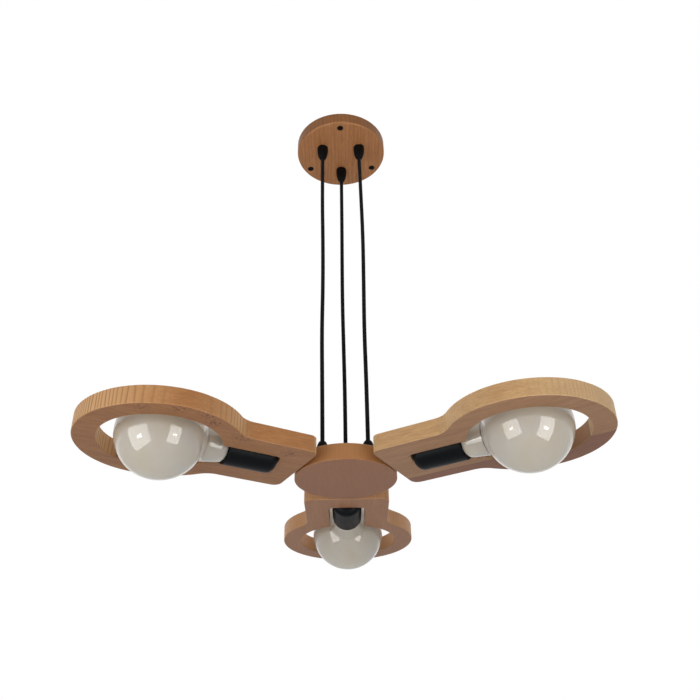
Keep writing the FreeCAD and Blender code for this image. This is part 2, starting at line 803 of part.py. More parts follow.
def make_holder(side, angle):
    """One lamp holder: a rounded cap and a skirt outside, an insert with its contacts inside."""
    wall = size.holder_wall
    outer = holder_radius
    inner = outer - wall
    back = size.holder_back_round
    tube = size.tube_diameter / 2 + size.thread_fit
    boss = size.cap_boss_diameter / 2
    boss_end = cap_boss_end()
    cap = turned(f"holder_cap_{side}", [
        (0, tube),
        (0, outer - back),
        (back, outer, -back),
        (cap_end(), outer),
        (cap_end(), inner),
        (back, inner),
        (wall, outer - back, back - wall),
        (wall, boss),
        (boss_end, boss),
        (boss_end, tube),
    ])
    finish(f"holder_cap_{side}", put(cap, holder_back, angle, arm_axis))

    skirt_start = cap_end() + size.skirt_groove
    front = size.holder_length
    nose = size.holder_front_round
    collar_back = cap_collar_back()
    collar_front = skirt_start + size.collar_depth
    collar_outer = inner - size.part_clearance
    collar_inner = collar_outer - size.collar_thickness
    skirt = turned(f"holder_skirt_{side}", [
        (skirt_start, collar_outer),
        (skirt_start, outer),
        (front - nose, outer),
        (front, outer - nose, -nose),
        (front, size.holder_mouth / 2),
        (front - size.holder_lip, size.holder_mouth / 2),
        (front - size.holder_lip, inner),
        (collar_front, inner),
        (collar_front, collar_inner),
        (collar_back, collar_inner),
        (collar_back, collar_outer),
    ])
    finish(f"holder_skirt_{side}", put(skirt, holder_back, angle, arm_axis))

    flange = collar_outer - size.part_clearance
    core = collar_inner - size.insert_clearance
    insert_floor = collar_back + size.insert_floor
    cup_front = insert_floor + size.insert_cup
    shell = size.shell_diameter / 2
    insert = turned(f"holder_insert_{side}", [
        (insert_back(), 0),
        (insert_back(), flange),
        (collar_back, flange),
        (collar_back, core),
        (cup_front, core),
        (cup_front, shell + size.part_clearance),
        (insert_floor, shell + size.part_clearance),
        (insert_floor, 0),
    ])
    finish(f"holder_insert_{side}", put(insert, holder_back, angle, arm_axis))

    shell_front = front - size.holder_lip - size.shell_lip_gap
    sheet_end = insert_floor + size.shell_sheet
    screw_shell = turned(f"screw_shell_{side}", [
        (insert_floor, size.shell_contact_bore / 2),
        (insert_floor, shell),
        (shell_front, shell),
        (shell_front, shell - size.shell_sheet),
        (sheet_end, shell - size.shell_sheet),
        (sheet_end, size.shell_contact_bore / 2),
    ])
    finish(f"screw_shell_{side}", put(screw_shell, holder_back, angle, arm_axis))


def make_holder_metal():
    """The centre contact on the floor of each insert, and two terminal screws on its back."""
    contacts = []
    screws = []
    floor = cap_collar_back() + size.insert_floor
    front = bulb_tip_back() - size.contact_gap
    stem = size.contact_stem / 2
    head = size.contact_head / 2
    back = holder_back + insert_back() - size.insert_screw_length
    for side, angle in zip(ARM_SIDES, ARM_ANGLES):
        contact = turned(f"centre_contact_{side}", [
            (floor, 0),
            (floor, head),
            (floor + size.contact_sheet, head),
            (floor + size.contact_sheet, stem),
            (front - size.contact_sheet, stem),
            (front - size.contact_sheet, head),
            (front, head),
            (front, 0),
        ])
        contacts.append(put(contact, holder_back, angle, arm_axis))
        for way in (-1, 1):
            screw = rod(f"insert_screw_{side}_{way + 1}", size.insert_screw / 2, size.insert_screw_length)
            put(screw, back, angle, arm_axis + size.insert_screw_spread / 2 * way, lying=True)
            screws.append(screw)
    finish("holder_contacts", group("holder_contacts", contacts))
    finish("holder_terminal_screws", group("holder_terminal_screws", screws))


def glass_back():
    """Where the bulb's glass starts, from the holder's back."""
    return size.holder_length + size.bulb_reveal


def bulb_cap_back():
    """Where the bulb's metal cap starts, from the holder's back."""
    return glass_back() - size.bulb_cap_length


def bulb_tip_back():
    """Where the bulb's contact tip starts, from the holder's back."""
    return bulb_cap_back() - size.insulator_height - size.tip_gap - size.tip_thickness


def make_bulb(side, angle):
    """One globe bulb: glass, metal cap, insulator, contact tip and LED carrier."""
    cap_radius = size.bulb_cap_diameter / 2
    start = glass_back()
    wall = size.glass_wall
    back = size.neck_back_diameter / 2
    front = size.neck_front_diameter / 2
    shoulder = back - cap_radius
    neck_end = start + size.neck_length
    globe = size.globe_diameter / 2
    centre = ring_centre - holder_back
    joint = front + size.neck_blend_rise
    inner_globe = globe - wall
    seat = cap_radius - size.bulb_cap_sheet - wall
    glass = turned(f"bulb_glass_{side}", [
        (start, seat),
        (start, cap_radius),
        (start + shoulder, back, -shoulder),
        (neck_end, front),
        (centre - leg(globe, joint), joint, size.neck_blend_round),
        (centre + globe, 0, -globe),
        (centre + inner_globe, 0),
        (centre - leg(inner_globe, joint - wall), joint - wall, inner_globe),
        (neck_end, front - wall),
        (start + shoulder, back - wall),
        (start + wall, cap_radius, shoulder - wall),
        (start + wall, seat),
    ])
    finish(f"bulb_glass_{side}", put(glass, holder_back, angle, arm_axis))

    sheet = size.bulb_cap_sheet
    bevel = size.bulb_cap_bevel
    cap_start = bulb_cap_back()
    cap = turned(f"bulb_cap_{side}", [
        (cap_start, cap_radius - bevel - sheet),
        (cap_start, cap_radius - bevel),
        (cap_start + bevel, cap_radius),
        (start, cap_radius),
        (start, cap_radius - sheet),
        (cap_start + bevel + sheet, cap_radius - sheet),
        (cap_start + sheet, cap_radius - bevel - sheet),
    ])
    finish(f"bulb_cap_{side}", put(cap, holder_back, angle, arm_axis))

    insulator_back = cap_start - size.insulator_height
    insulator = turned(f"bulb_insulator_{side}", [
        (insulator_back, 0),
        (insulator_back, size.insulator_tip / 2),
        (cap_start, cap_radius - bevel),
        (cap_start, 0),
    ])
    finish(f"bulb_insulator_{side}", put(insulator, holder_back, angle, arm_axis))

    tip = put(rod(f"bulb_tip_{side}", size.tip_diameter / 2, size.tip_thickness),
              holder_back + bulb_tip_back(), angle, arm_axis, lying=True)
    finish(f"bulb_tip_{side}", tip)

    driver = cap_radius - sheet - size.part_clearance
    stem = size.led_stem / 2
    board = size.led_board / 2
    board_back = start + size.led_board_distance
    board_front = board_back + size.led_board_thickness
    carrier = turned(f"bulb_led_{side}", [
        (cap_start + size.driver_gap, 0),
        (cap_start + size.driver_gap, driver),
        (start, driver),
        (start, seat - size.part_clearance),
        (start + wall, seat - size.part_clearance),
        (board_back, stem),
        (board_back, board),
        (board_front, board),
        (board_front, 0),
    ])
    finish(f"bulb_led_{side}", put(carrier, holder_back, angle, arm_axis))


def write_parts():
    """Checks every object of the document and writes each finished piece under its own name."""
    doc.recompute()
    for thing in doc.Objects:
        if "Invalid" in thing.State or "Error" in thing.State:
            raise RuntimeError(f"{thing.Name} failed: {thing.State}")
    os.makedirs("parts", exist_ok=True)
    for piece in finished:
        shape = piece.Shape
        if shape.isNull() or not shape.isValid() or not shape.Solids:
            raise RuntimeError(f"{piece.Label} has no valid solid")
        shape.exportStep(f"parts/{piece.Label}.step")
        print(f"{piece.Label}: {len(shape.Solids)} solids, {shape.Volume:.1f} mm3")
    print(f"{len(finished)} pieces")


make_canopy()
make_grips("canopy", canopy_underside, canopy_thread_length, upside_down=False)
make_canopy_leads(make_terminal_block())
make_cords()
make_hub()
make_lid()
make_grips("hub", hub_top, hub_thread_length, upside_down=True)
make_tubes()
make_hub_leads()
for arm_side, arm_angle in zip(ARM_SIDES, ARM_ANGLES):
    make_arm(arm_side, arm_angle)
    make_holder(arm_side, arm_angle)
    make_bulb(arm_side, arm_angle)
make_holder_metal()
write_parts()
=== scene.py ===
"""Wood pendant light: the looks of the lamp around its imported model, in metres, +Z up.

The origin is the centre of the canopy on the ceiling plane. The lamp hangs towards -Z, and its arms point to
210, 330 and 90 degrees, anticlockwise from +X as seen from above.
"""
import bmesh
import bpy
import math
from mathutils import Matrix, Vector


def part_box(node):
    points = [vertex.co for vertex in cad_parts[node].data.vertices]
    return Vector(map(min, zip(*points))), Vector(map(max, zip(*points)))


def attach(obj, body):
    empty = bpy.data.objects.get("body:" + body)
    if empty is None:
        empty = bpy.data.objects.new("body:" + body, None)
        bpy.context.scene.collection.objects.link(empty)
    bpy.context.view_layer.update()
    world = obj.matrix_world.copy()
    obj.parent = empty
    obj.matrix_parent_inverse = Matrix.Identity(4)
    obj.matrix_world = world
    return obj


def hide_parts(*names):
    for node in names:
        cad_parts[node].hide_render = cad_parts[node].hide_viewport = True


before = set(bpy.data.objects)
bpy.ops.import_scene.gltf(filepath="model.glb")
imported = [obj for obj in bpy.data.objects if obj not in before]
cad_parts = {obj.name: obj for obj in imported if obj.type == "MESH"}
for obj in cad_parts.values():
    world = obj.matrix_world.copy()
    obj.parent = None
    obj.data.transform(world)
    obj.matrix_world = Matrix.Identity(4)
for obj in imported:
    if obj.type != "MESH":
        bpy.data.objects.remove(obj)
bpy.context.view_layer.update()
scene = bpy.context.scene
scene.view_settings.view_transform = "Standard"

# Camera
# It stands in front of the lamp and below it, as in the photograph, and looks up at the three arms.
CAMERA_PLACE = (0.0058, -0.8685, -0.8965)
CAMERA_TILT = 31.36
CAMERA_ROLL = -1.08
camera = bpy.data.objects.new("camera", bpy.data.cameras.new("camera"))
scene.collection.objects.link(camera)
scene.camera = camera
camera.data.sensor_width = 36
camera.data.lens = 40.83
camera.data.shift_x = 0.0022
camera.data.shift_y = 0.0041
camera.location = CAMERA_PLACE
tilt = Matrix.Rotation(math.radians(90 + CAMERA_TILT), 3, "X")
roll = Matrix.Rotation(math.radians(CAMERA_ROLL), 3, "Z")
camera.rotation_euler = (tilt @ roll).to_euler()

# Cords
# Three round textile cords, 5.2 mm thick, with a black braid over their leads. They hang straight under the
# lamp's weight, with the faint waves that the braid keeps from its packing.
ARMS = {"left": 210, "right": 330, "rear": 90}
GRIP_CIRCLE = 0.031
CORD_RADIUS = 0.0026
CORD_TOP = -0.0408
CORD_BOTTOM = -0.4982
CORD_END_ROUND = 0.0011
BRAID_STRANDS = 10
BRAID_POINTS = BRAID_STRANDS * 4
BRAID_STEP = 0.00042
BRAID_RELIEF = 0.0001
# How far each cord's line strays sideways and backwards, at even steps from the canopy down to the hub
CORD_WAVES = {
    "left": [(-0.0006, 0.0), (0.0004, 0.0004), (0.0005, 0.0), (-0.0009, -0.0003), (-0.0003, 0.0)],
    "right": [(0.0011, 0.0), (0.0019, 0.0003), (0.0009, 0.0), (-0.0003, -0.0003), (0.0003, 0.0)],
    "rear": [(-0.0002, 0.0), (-0.0008, 0.0), (-0.0012, 0.0003), (-0.0004, 0.0), (0.0003, 0.0)],
}


def around(angle, distance, height=0.0):
    """A point at a distance from the lamp's centre line, in a direction in degrees."""
    turn = math.radians(angle)
    return Vector((distance * math.cos(turn), distance * math.sin(turn), height))


def route_of(name, points):
    """The points of a cord's own smooth line, evenly close together."""
    curve = bpy.data.curves.new(name, "CURVE")
    curve.dimensions = "3D"
    curve.resolution_u = 24
    spline = curve.splines.new("NURBS")
    spline.points.add(len(points) - 1)
    for point, place in zip(spline.points, points):
        point.co = (*place, 1)
    spline.order_u = 3
    spline.use_endpoint_u = True
    guide = bpy.data.objects.new(name, curve)
    line = bpy.data.meshes.new_from_object(guide)
    route = [vertex.co.copy() for vertex in line.vertices]
    bpy.data.objects.remove(guide)
    bpy.data.curves.remove(curve)
    bpy.data.meshes.remove(line)
    return route


def place_on(route, height):
    """Where a cord's line is at a height."""
    for upper, lower in zip(route, route[1:]):
        if lower.z <= height:
            share = (upper.z - height) / (upper.z - lower.z)
            return upper.lerp(lower, share)
    return route[-1]


def strand_height(turn, climb):
    """How high the upper of two crossing strands stands at a place on the braid, from nought to one."""
    rising = (turn + climb) / 2
    falling = (turn - climb) / 2
    over = (math.floor(rising) + math.floor(falling)) % 2
    return abs(math.sin(math.pi * (falling if over else rising)))


def braid(name, route):
    """A braided tube along a cord's line: strands that pass over and under each other."""
    length = route[0].z - route[-1].z
    mesh = bmesh.new()
    bmesh.ops.create_cone(mesh, cap_ends=True, cap_tris=True, segments=BRAID_POINTS, radius1=CORD_RADIUS,
                          radius2=CORD_RADIUS, depth=length)
    upright = [edge for edge in mesh.edges if abs(edge.verts[0].co.z - edge.verts[1].co.z) > length / 2]
    bmesh.ops.subdivide_edges(mesh, edges=upright, cuts=round(length / BRAID_STEP), use_grid_fill=True)
    bmesh.ops.translate(mesh, verts=mesh.verts, vec=(0, 0, (route[0].z + route[-1].z) / 2))
    pitch = math.tau * CORD_RADIUS / BRAID_STRANDS
    places = {}
    for vertex in mesh.verts:
        level = round(vertex.co.z, 6)
        if level not in places:
            places[level] = place_on(route, level)
        radius = math.hypot(vertex.co.x, vertex.co.y)
        if radius > CORD_RADIUS / 2:
            turn = math.atan2(vertex.co.y, vertex.co.x) / math.tau * BRAID_STRANDS
            height = strand_height(turn, vertex.co.z / pitch)
            to_end = min(route[0].z - vertex.co.z, vertex.co.z - route[-1].z)
            inset = max(CORD_END_ROUND - to_end, 0)
            rounding = CORD_END_ROUND - math.sqrt(max(CORD_END_ROUND ** 2 - inset ** 2, 0))
            wanted = CORD_RADIUS - BRAID_RELIEF * (1 - height) - rounding
            vertex.co.x *= wanted / radius
            vertex.co.y *= wanted / radius
        vertex.co.x += places[level].x
        vertex.co.y += places[level].y
    data = bpy.data.meshes.new(name)
    mesh.to_mesh(data)
    mesh.free()
    data.shade_smooth()
    piece = bpy.data.objects.new(name, data)
    scene.collection.objects.link(piece)
    return piece


class Finish:
    """A material in the making, with one shader that its nodes feed."""

    def __init__(self, name, **fixed):
        self.material = bpy.data.materials.new(name)
        self.material.use_nodes = True
        self.tree = self.material.node_tree
        self.tree.nodes.clear()
        self.shader = self.tree.nodes.new("ShaderNodeBsdfPrincipled")
        output = self.tree.nodes.new("ShaderNodeOutputMaterial")
        self.tree.links.new(self.shader.outputs[0], output.inputs[0])
        for socket, value in fixed.items():
            self.shader.inputs[socket.replace("_", " ")].default_value = value

    def node(self, kind, settings=None, sockets=None, output=0):
        """Adds a node with its settings, then fills its sockets, and gives one of its outputs."""
        node = self.tree.nodes.new("ShaderNode" + kind)
        for name, value in (settings or {}).items():
            if name == "stops":
                self.set_stops(node.color_ramp.elements, value)
            else:
                setattr(node, name, value)
        for name, value in (sockets or {}).items():
            self.fill(node.inputs[name], value)
        return Value(self, node.outputs[output])

    def set_stops(self, elements, stops):
        """Gives a ramp its stops, each a place with a grey or a colour."""
        while len(elements) < len(stops):
            elements.new(1)
        for element, (place, colour) in zip(elements, stops):
            if not isinstance(colour, tuple):
                colour = (colour, colour, colour)
            element.position = place
            element.color = (*colour, 1)

    def fill(self, socket, value):
        """Links a value to a socket, or sets the socket to a plain number or colour."""
        if isinstance(value, Value):
            self.tree.links.new(value.socket, socket)
        elif isinstance(value, tuple) and len(value) == 3 and socket.type == "RGBA":
            socket.default_value = (*value, 1)
        else:
            socket.default_value = value

    def place(self):
        """Where a point of the piece is, from the lamp's origin."""
        return self.node("TexCoord", output="Object")

    def mix(self, share, first, second, blend="MIX"):
        """Mixes two colours, which are the sockets 6 and 7 of the node."""
        return self.node("Mix", {"data_type": "RGBA", "blend_type": blend},
                         {0: share, 6: first, 7: second}, output=2)

    def ramp(self, value, stops):
        """Reads a value through a ramp of greys or colours."""
        return self.node("ValToRGB", {"stops": stops}, {"Fac": value})

    def turned(self, vector, angle, shift=(0, 0, 0)):
        """Coordinates turned about Z by an angle in degrees, then shifted."""
        return self.node("Mapping", {"vector_type": "POINT"},
                         {"Vector": vector, "Rotation": (0, 0, math.radians(angle)), "Location": shift})

    def stretched(self, vector, scales, shift=(0, 0, 0)):
        """Coordinates shifted, then scaled along each axis."""
        shifted = self.turned(vector, 0, shift)
        return self.node("VectorMath", {"operation": "MULTIPLY"}, {0: shifted, 1: scales})

    def noise(self, vector, detail=2.0, roughness=0.5, distortion=0.0):
        """Noise with features about one unit wide in the given coordinates."""
        return self.node("TexNoise", {}, {"Vector": vector, "Scale": 1.0, "Detail": detail,
                                          "Roughness": roughness, "Distortion": distortion})

    def cells(self, vector):
        """How far each point is from the nearest of scattered spots, about one unit apart."""
        return self.node("TexVoronoi", {"feature": "F1"}, {"Vector": vector, "Scale": 1.0})

    def finish(self, colour, roughness, relief=None, depth=0.0):
        """Feeds the shader: colour, roughness, and a relief whose full height is a depth in metres."""
        self.fill(self.shader.inputs["Base Color"], colour)
        self.fill(self.shader.inputs["Roughness"], roughness)
        if relief is not None:
            bump = self.node("Bump", {}, {"Height": relief, "Distance": depth, "Strength": 1.0})
            self.fill(self.shader.inputs["Normal"], bump)
        return self.material


class Value:
    """An output of a node; sums, differences and products with it add Math nodes."""

    def __init__(self, finish, socket):
        self.finish = finish
        self.socket = socket

    def maths(self, operation, first, second=None):
        sockets = {0: first} if second is None else {0: first, 1: second}
        return self.finish.node("Math", {"operation": operation}, sockets)

    def __add__(self, other):
        return self.maths("ADD", self, other)

    def __sub__(self, other):
        return self.maths("SUBTRACT", self, other)

    def __rsub__(self, other):
        return self.maths("SUBTRACT", other, self)

    def __mul__(self, other):
        return self.maths("MULTIPLY", self, other)

    def over(self, limit):
        return self.maths("GREATER_THAN", self, limit)

    def size(self):
        return self.maths("ABSOLUTE", self)

    def power(self, exponent):
        return self.maths("POWER", self, exponent)

    def fraction(self):
        return self.maths("FRACT", self)

    def part(self, axis):
        return self.finish.node("SeparateXYZ", {}, {0: self}, output=axis)

    __radd__ = __add__
    __rmul__ = __mul__


def braid_finish():
    """Black textile yarn: matt, with fine fibres that catch a little light."""
    yarn = Finish("black_textile_braid", Sheen_Weight=0.04, Sheen_Roughness=0.5, Specular_IOR_Level=0.08)
    place = yarn.place()
    fibres = yarn.noise(yarn.stretched(place, (9000, 9000, 2600)), detail=3)
    wear = yarn.noise(yarn.stretched(place, (160, 160, 40)), detail=2)
    tone = fibres * 0.7 + wear * 0.3
    colour = yarn.ramp(tone, [(0.3, (0.0016, 0.0016, 0.002)), (0.75, (0.0065, 0.0065, 0.0078))])
    return yarn.finish(colour, 0.62 + fibres * 0.3, fibres, 0.00004)


cord_finish = braid_finish()
for side, angle in ARMS.items():
    waves = [(0, 0), *CORD_WAVES[side], (0, 0)]
    foot = around(angle, GRIP_CIRCLE)
    points = []
    for number, (aside, back) in enumerate(waves):
        height = CORD_TOP + (CORD_BOTTOM - CORD_TOP) * number / (len(waves) - 1)
        points.append((foot.x + aside, foot.y + back, height))
    route = route_of(f"cord_{side}_line", points)
    cord = braid(f"cord_{side}_braid", route)
    cord.data.materials.append(cord_finish)
    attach(cord, f"cord_{side}")
    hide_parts(f"cord_{side}")


# Cord grips
# Black moulded plastic bullets, 22.5 mm long. A threaded stem with a nut holds each one in the wood or the
# lid, and a grub screw at its rear clamps the cord.
GRIP_LENGTH = 0.0225
GRIP_BASE = 0.0078
GRIP_EDGE = 0.0008
GRIP_STRAIGHT = 0.003
GRIP_NOSE = 0.0029
GRIP_BORE = 0.00275
GRIP_STEM = 0.005
SHARP_ANGLE = 38


class Turning:
    """The outline of a turned piece, drawn as lines and arcs beside its axis and then spun about it."""

    def __init__(self, out, along):
        self.mesh = bmesh.new()
        self.tip = self.mesh.verts.new((out, 0, along))

    def line(self, out, along):
        """A straight line to a distance from the axis and a place along it."""
        self.tip = bmesh.ops.extrude_vert_indiv(self.mesh, verts=[self.tip])["verts"][0]
        self.tip.co = (out, 0, along)
        return self

    def arc(self, out, along, degrees, steps):
        """A circular arc about a centre."""
        made = bmesh.ops.spin(self.mesh, geom=[self.tip], cent=(out, 0, along), axis=(0, -1, 0),
                              angle=math.radians(degrees), steps=steps)
        self.tip = [part for part in made["geom_last"] if isinstance(part, bmesh.types.BMVert)][0]
        return self

    def oval(self, out, along, outwards_first, steps):
        """A quarter of an oval, which leaves across the axis or along it and arrives the other way."""
        old = set(self.mesh.verts)
        first = self.tip.co.copy()
        step_out = out - first.x
        step_along = along - first.z
        way = 1 if step_out * step_along > 0 else -1
        if outwards_first:
            self.arc(first.x, first.z + step_along, 90 * way, steps)
            scale = (abs(step_out / step_along), 1, 1)
        else:
            self.arc(first.x + step_out, first.z, -90 * way, steps)
            scale = (1, 1, abs(step_along / step_out))
        fresh = [vertex for vertex in self.mesh.verts if vertex not in old]
        bmesh.ops.scale(self.mesh, verts=fresh, vec=scale, space=Matrix.Translation(-first))
        return self

    def turn(self, name, place, material, slot, body, steps):
        """Spins the outline into a closed shell, puts it in its place and has it ride on a body."""
        outline = self.mesh.verts[:] + self.mesh.edges[:]
        bmesh.ops.spin(self.mesh, geom=outline, cent=(0, 0, 0), axis=(0, 0, 1), angle=math.tau, steps=steps,
                       use_merge=True)
        bmesh.ops.remove_doubles(self.mesh, verts=self.mesh.verts, dist=1e-6)
        bmesh.ops.recalc_face_normals(self.mesh, faces=self.mesh.faces)
        bmesh.ops.transform(self.mesh, matrix=place, verts=self.mesh.verts)
        data = bpy.data.meshes.new(name)
        self.mesh.to_mesh(data)
        self.mesh.free()
        data.shade_smooth()
        data.set_sharp_from_angle(angle=math.radians(SHARP_ANGLE))
        data.materials.append(material)
        piece = bpy.data.objects.new(name, data)
        scene.collection.objects.link(piece)
        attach(piece, body)
        return piece


def tinted(colour, shares):
    """A colour with its parts taken times a share each, or all times the same one."""
    if not isinstance(shares, tuple):
        shares = (shares, shares, shares)
    return tuple(part * share for part, share in zip(colour, shares))


def moulded(name, tint, gloss, roughness, grain):
    """Black moulded plastic with the fine grain of its tool."""
    plastic = Finish(name, Specular_IOR_Level=gloss)
    place = plastic.place()
    texture = plastic.noise(plastic.stretched(place, (grain, grain, grain)), detail=3)
    film = plastic.noise(plastic.stretched(place, (45, 45, 45)), detail=3)
    colour = plastic.ramp(film, [(0.3, tinted(tint, 0.75)), (0.8, tinted(tint, 1.4))])
    return plastic.finish(colour, roughness + film * 0.12, texture, 0.00002)


grip_plastic = moulded("black_matt_plastic", (0.0028, 0.0026, 0.0027), 0.06, 0.5, 1600)
for side, angle in ARMS.items():
    for owner, body in (("canopy", "canopy"), ("hub", "lamp")):
        node = f"{owner}_grip_{side}"
        low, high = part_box(node)
        hanging = owner == "canopy"
        seat = low[2] + GRIP_LENGTH if hanging else high[2] - GRIP_LENGTH
        stem = high[2] - seat if hanging else seat - low[2]
        foot = Matrix.Translation(around(angle, GRIP_CIRCLE, seat))
        if hanging:
            foot = foot @ Matrix.Rotation(math.pi, 4, "X")
        grip = Turning(GRIP_BORE, -stem).line(GRIP_STEM, -stem).line(GRIP_STEM, 0)
        grip.line(GRIP_BASE - GRIP_EDGE, 0).oval(GRIP_BASE, GRIP_EDGE, True, 4)
        grip.line(GRIP_BASE, GRIP_STRAIGHT).oval(GRIP_NOSE, GRIP_LENGTH, False, 16)
        grip.line(GRIP_BORE, GRIP_LENGTH).line(GRIP_BORE, -stem)
        piece = grip.turn(f"{node}_bullet", foot, grip_plastic, "black_plastic", body, steps=48)
        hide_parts(node)


def dress(material, *nodes):
    """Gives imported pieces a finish."""
    for name in nodes:
        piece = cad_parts[name]
        piece.data.materials.clear()
        piece.data.materials.append(material)


dress(grip_plastic, "canopy_grip_screws", "hub_grip_screws")

# Canopy
# A turned beech disc, hollow towards the ceiling, with straight grain from front to back. Three black
# countersunk screws hold it, and the whole lamp has the same thin satin oil over the wood.
SCREW_ANGLES = (30, 150, 270)
SCREW_CIRCLE = 0.054
SCREW_HEAD = 0.0046
SCREW_RIM = 0.0002
SCREW_SUNK = 0.0001
SCREW_SHANK = 0.0021
SCREW_LENGTH = 0.0168
SCREW_POINT = 0.002
RECESS_RADIUS = 0.0017
RECESS_DEPTH = 0.0016
RECESS_TAPER = 0.8
LOBES = 6
LOBE_RELIEF = 0.16
LOBE_REACH = 1.05
# How often each kind of mark in beech comes per metre: along the grain, across it and through the board
FIBRES = (28, 1300, 1300)
THREADS = (90, 4200, 4200)
CLOUDS = (14, 55, 55)
BANDS = (80, 620, 620)
FIGURE = (16, 130, 130)
RAYS = (420, 2400, 1500)
SPECKS = (260, 620, 300)
RING_SWAY = (9, 60, 8)


def beech(name, turn, light, dark, blur, ring_spacing, ring_share, end_share, seed, faces, edges, seam=None,
          strip=None, knots=()):
    """Beech with its grain along a direction in degrees: fibres, growth rings, rays and dark flecks.

    The tints of faces and edges are painted light and shade: the faces tint goes over the level faces and the
    edges tint over the upright walls, to paint in how brightly the lamps light each of them. The edges tint
    also colours a painted highlight along the rounded edges. A seam lies at a distance across the grain, and
    the board beyond it has the colour of the strip. Each knotty spot is a place and its reach.
    """
    wood = Finish(name, Specular_IOR_Level=0.4)
    along = wood.turned(wood.place(), -turn)
    across = along.part("Y")
    facing = wood.turned(wood.node("TexCoord", output="Normal"), -turn)
    end_grain = facing.part("X").size().power(1.2)
    tilt = facing.part("Z").size()
    level = wood.ramp(tilt, [(0.3, 0.0), (0.8, 1.0)])
    rounded = wood.ramp(tilt * (1 - tilt), [(0.08, 0.0), (0.2, 1.0)])

    sway = wood.noise(wood.stretched(along, RING_SWAY, (seed, seed, seed)), detail=2)
    rings = across * (1 / ring_spacing) + sway * 2.2
    late = wood.ramp(rings.fraction(), [(0.0, 0.0), (0.55, 0.1), (0.86, 1.0), (1.0, 0.0)])
    fibres = wood.noise(wood.stretched(along, FIBRES, (seed, 0, 0)), detail=4, roughness=0.6)
    threads = wood.noise(wood.stretched(along, THREADS, (seed, 0, 0)), detail=2)
    clouds = wood.noise(wood.stretched(along, CLOUDS, (0, seed, 0)), detail=3)
    bands = wood.noise(wood.stretched(along, BANDS, (0, 0, seed)), detail=3, roughness=0.6)
    figure = wood.noise(wood.stretched(along, FIGURE, (seed, seed, 0)), detail=2, distortion=0.6)
    ray = wood.ramp(wood.cells(wood.stretched(along, RAYS, (seed, seed, 0))), [(0.2, 1.0), (0.36, 0.0)])

    tone = fibres * 0.25 + clouds * 0.15 + threads * 0.05 + bands * 0.35 + figure * 0.2
    colour = wood.mix(wood.ramp(tone, [(0.5 - blur, 0.0), (0.5 + blur, 1.0)]), light, dark)
    colour = wood.mix(end_grain * end_share, colour, tuple(part ** 0.68 for part in light))
    late_share = late * (ring_share + end_grain * end_share * 0.85)
    colour = wood.mix(late_share, colour, tinted(dark, 0.64))
    colour = wood.mix(ray * (1 - end_grain) * 0.24, colour, tinted(dark, 0.5))
    for spot, reach in knots:
        near = wood.node("VectorMath", {"operation": "DISTANCE"}, {0: along, 1: spot}, output="Value")
        close = wood.ramp(near * (1 / reach), [(0.3, 1.0), (1.0, 0.0)])
        specks = wood.cells(wood.stretched(along, SPECKS, (seed, 0, seed)))
        speck = wood.ramp(specks, [(0.34, 1.0), (0.5, 0.0)])
        colour = wood.mix(speck * close * level, colour, tinted(dark, (0.5, 0.33, 0.36)))
    if seam is not None:
        colour = wood.mix(across.over(seam) * 0.8, colour, strip)
        line = wood.ramp((across - seam).size() * 1000, [(0.25, 1.0), (0.8, 0.0)])
        colour = wood.mix(line * 0.8, colour, tinted(dark, 0.3))
    # Painted light and shade: the level faces take the faces tint and the upright walls the edges tint, by
    # how they face the lamps.
    colour = wood.mix(1.0, colour, wood.mix(level, edges, faces), blend="MULTIPLY")
    # Painted highlight: a lighter colour along the rounded edges, where they catch the light.
    painted_edge_highlight = tinted(tuple(part ** 0.8 for part in light), edges)
    colour = wood.mix(rounded * 0.4, colour, painted_edge_highlight)
    relief = fibres * 0.5 + threads * 0.3 - ray * 0.5 - late * 0.2
    return wood.finish(colour, 0.43 + fibres * 0.16 + end_grain * 0.08, relief, 0.00006)


def painted_steel():
    """Black powder paint with a fine orange-peel surface."""
    paint = Finish("black_painted_steel", Specular_IOR_Level=0.08)
    place = paint.place()
    peel = paint.noise(paint.stretched(place, (1400, 1400, 1400)), detail=2)
    dust = paint.noise(paint.stretched(place, (60, 60, 60)), detail=3)
    colour = paint.ramp(dust, [(0.3, (0.0015, 0.0015, 0.002)), (0.8, (0.005, 0.005, 0.0055))])
    return paint.finish(colour, 0.34 + dust * 0.2, peel, 0.00003)


def drive(screw, angle, distance, recess):
    """Draws the six lobes of a screw's recess."""
    middle = around(angle, distance)
    for vertex in screw.data.vertices:
        spoke = Vector((vertex.co.x - middle.x, vertex.co.y - middle.y))
        if 0 < spoke.length < recess * LOBE_REACH:
            lobes = 1 + LOBE_RELIEF * math.cos(LOBES * math.atan2(spoke.y, spoke.x))
            vertex.co.x = middle.x + spoke.x * lobes
            vertex.co.y = middle.y + spoke.y * lobes


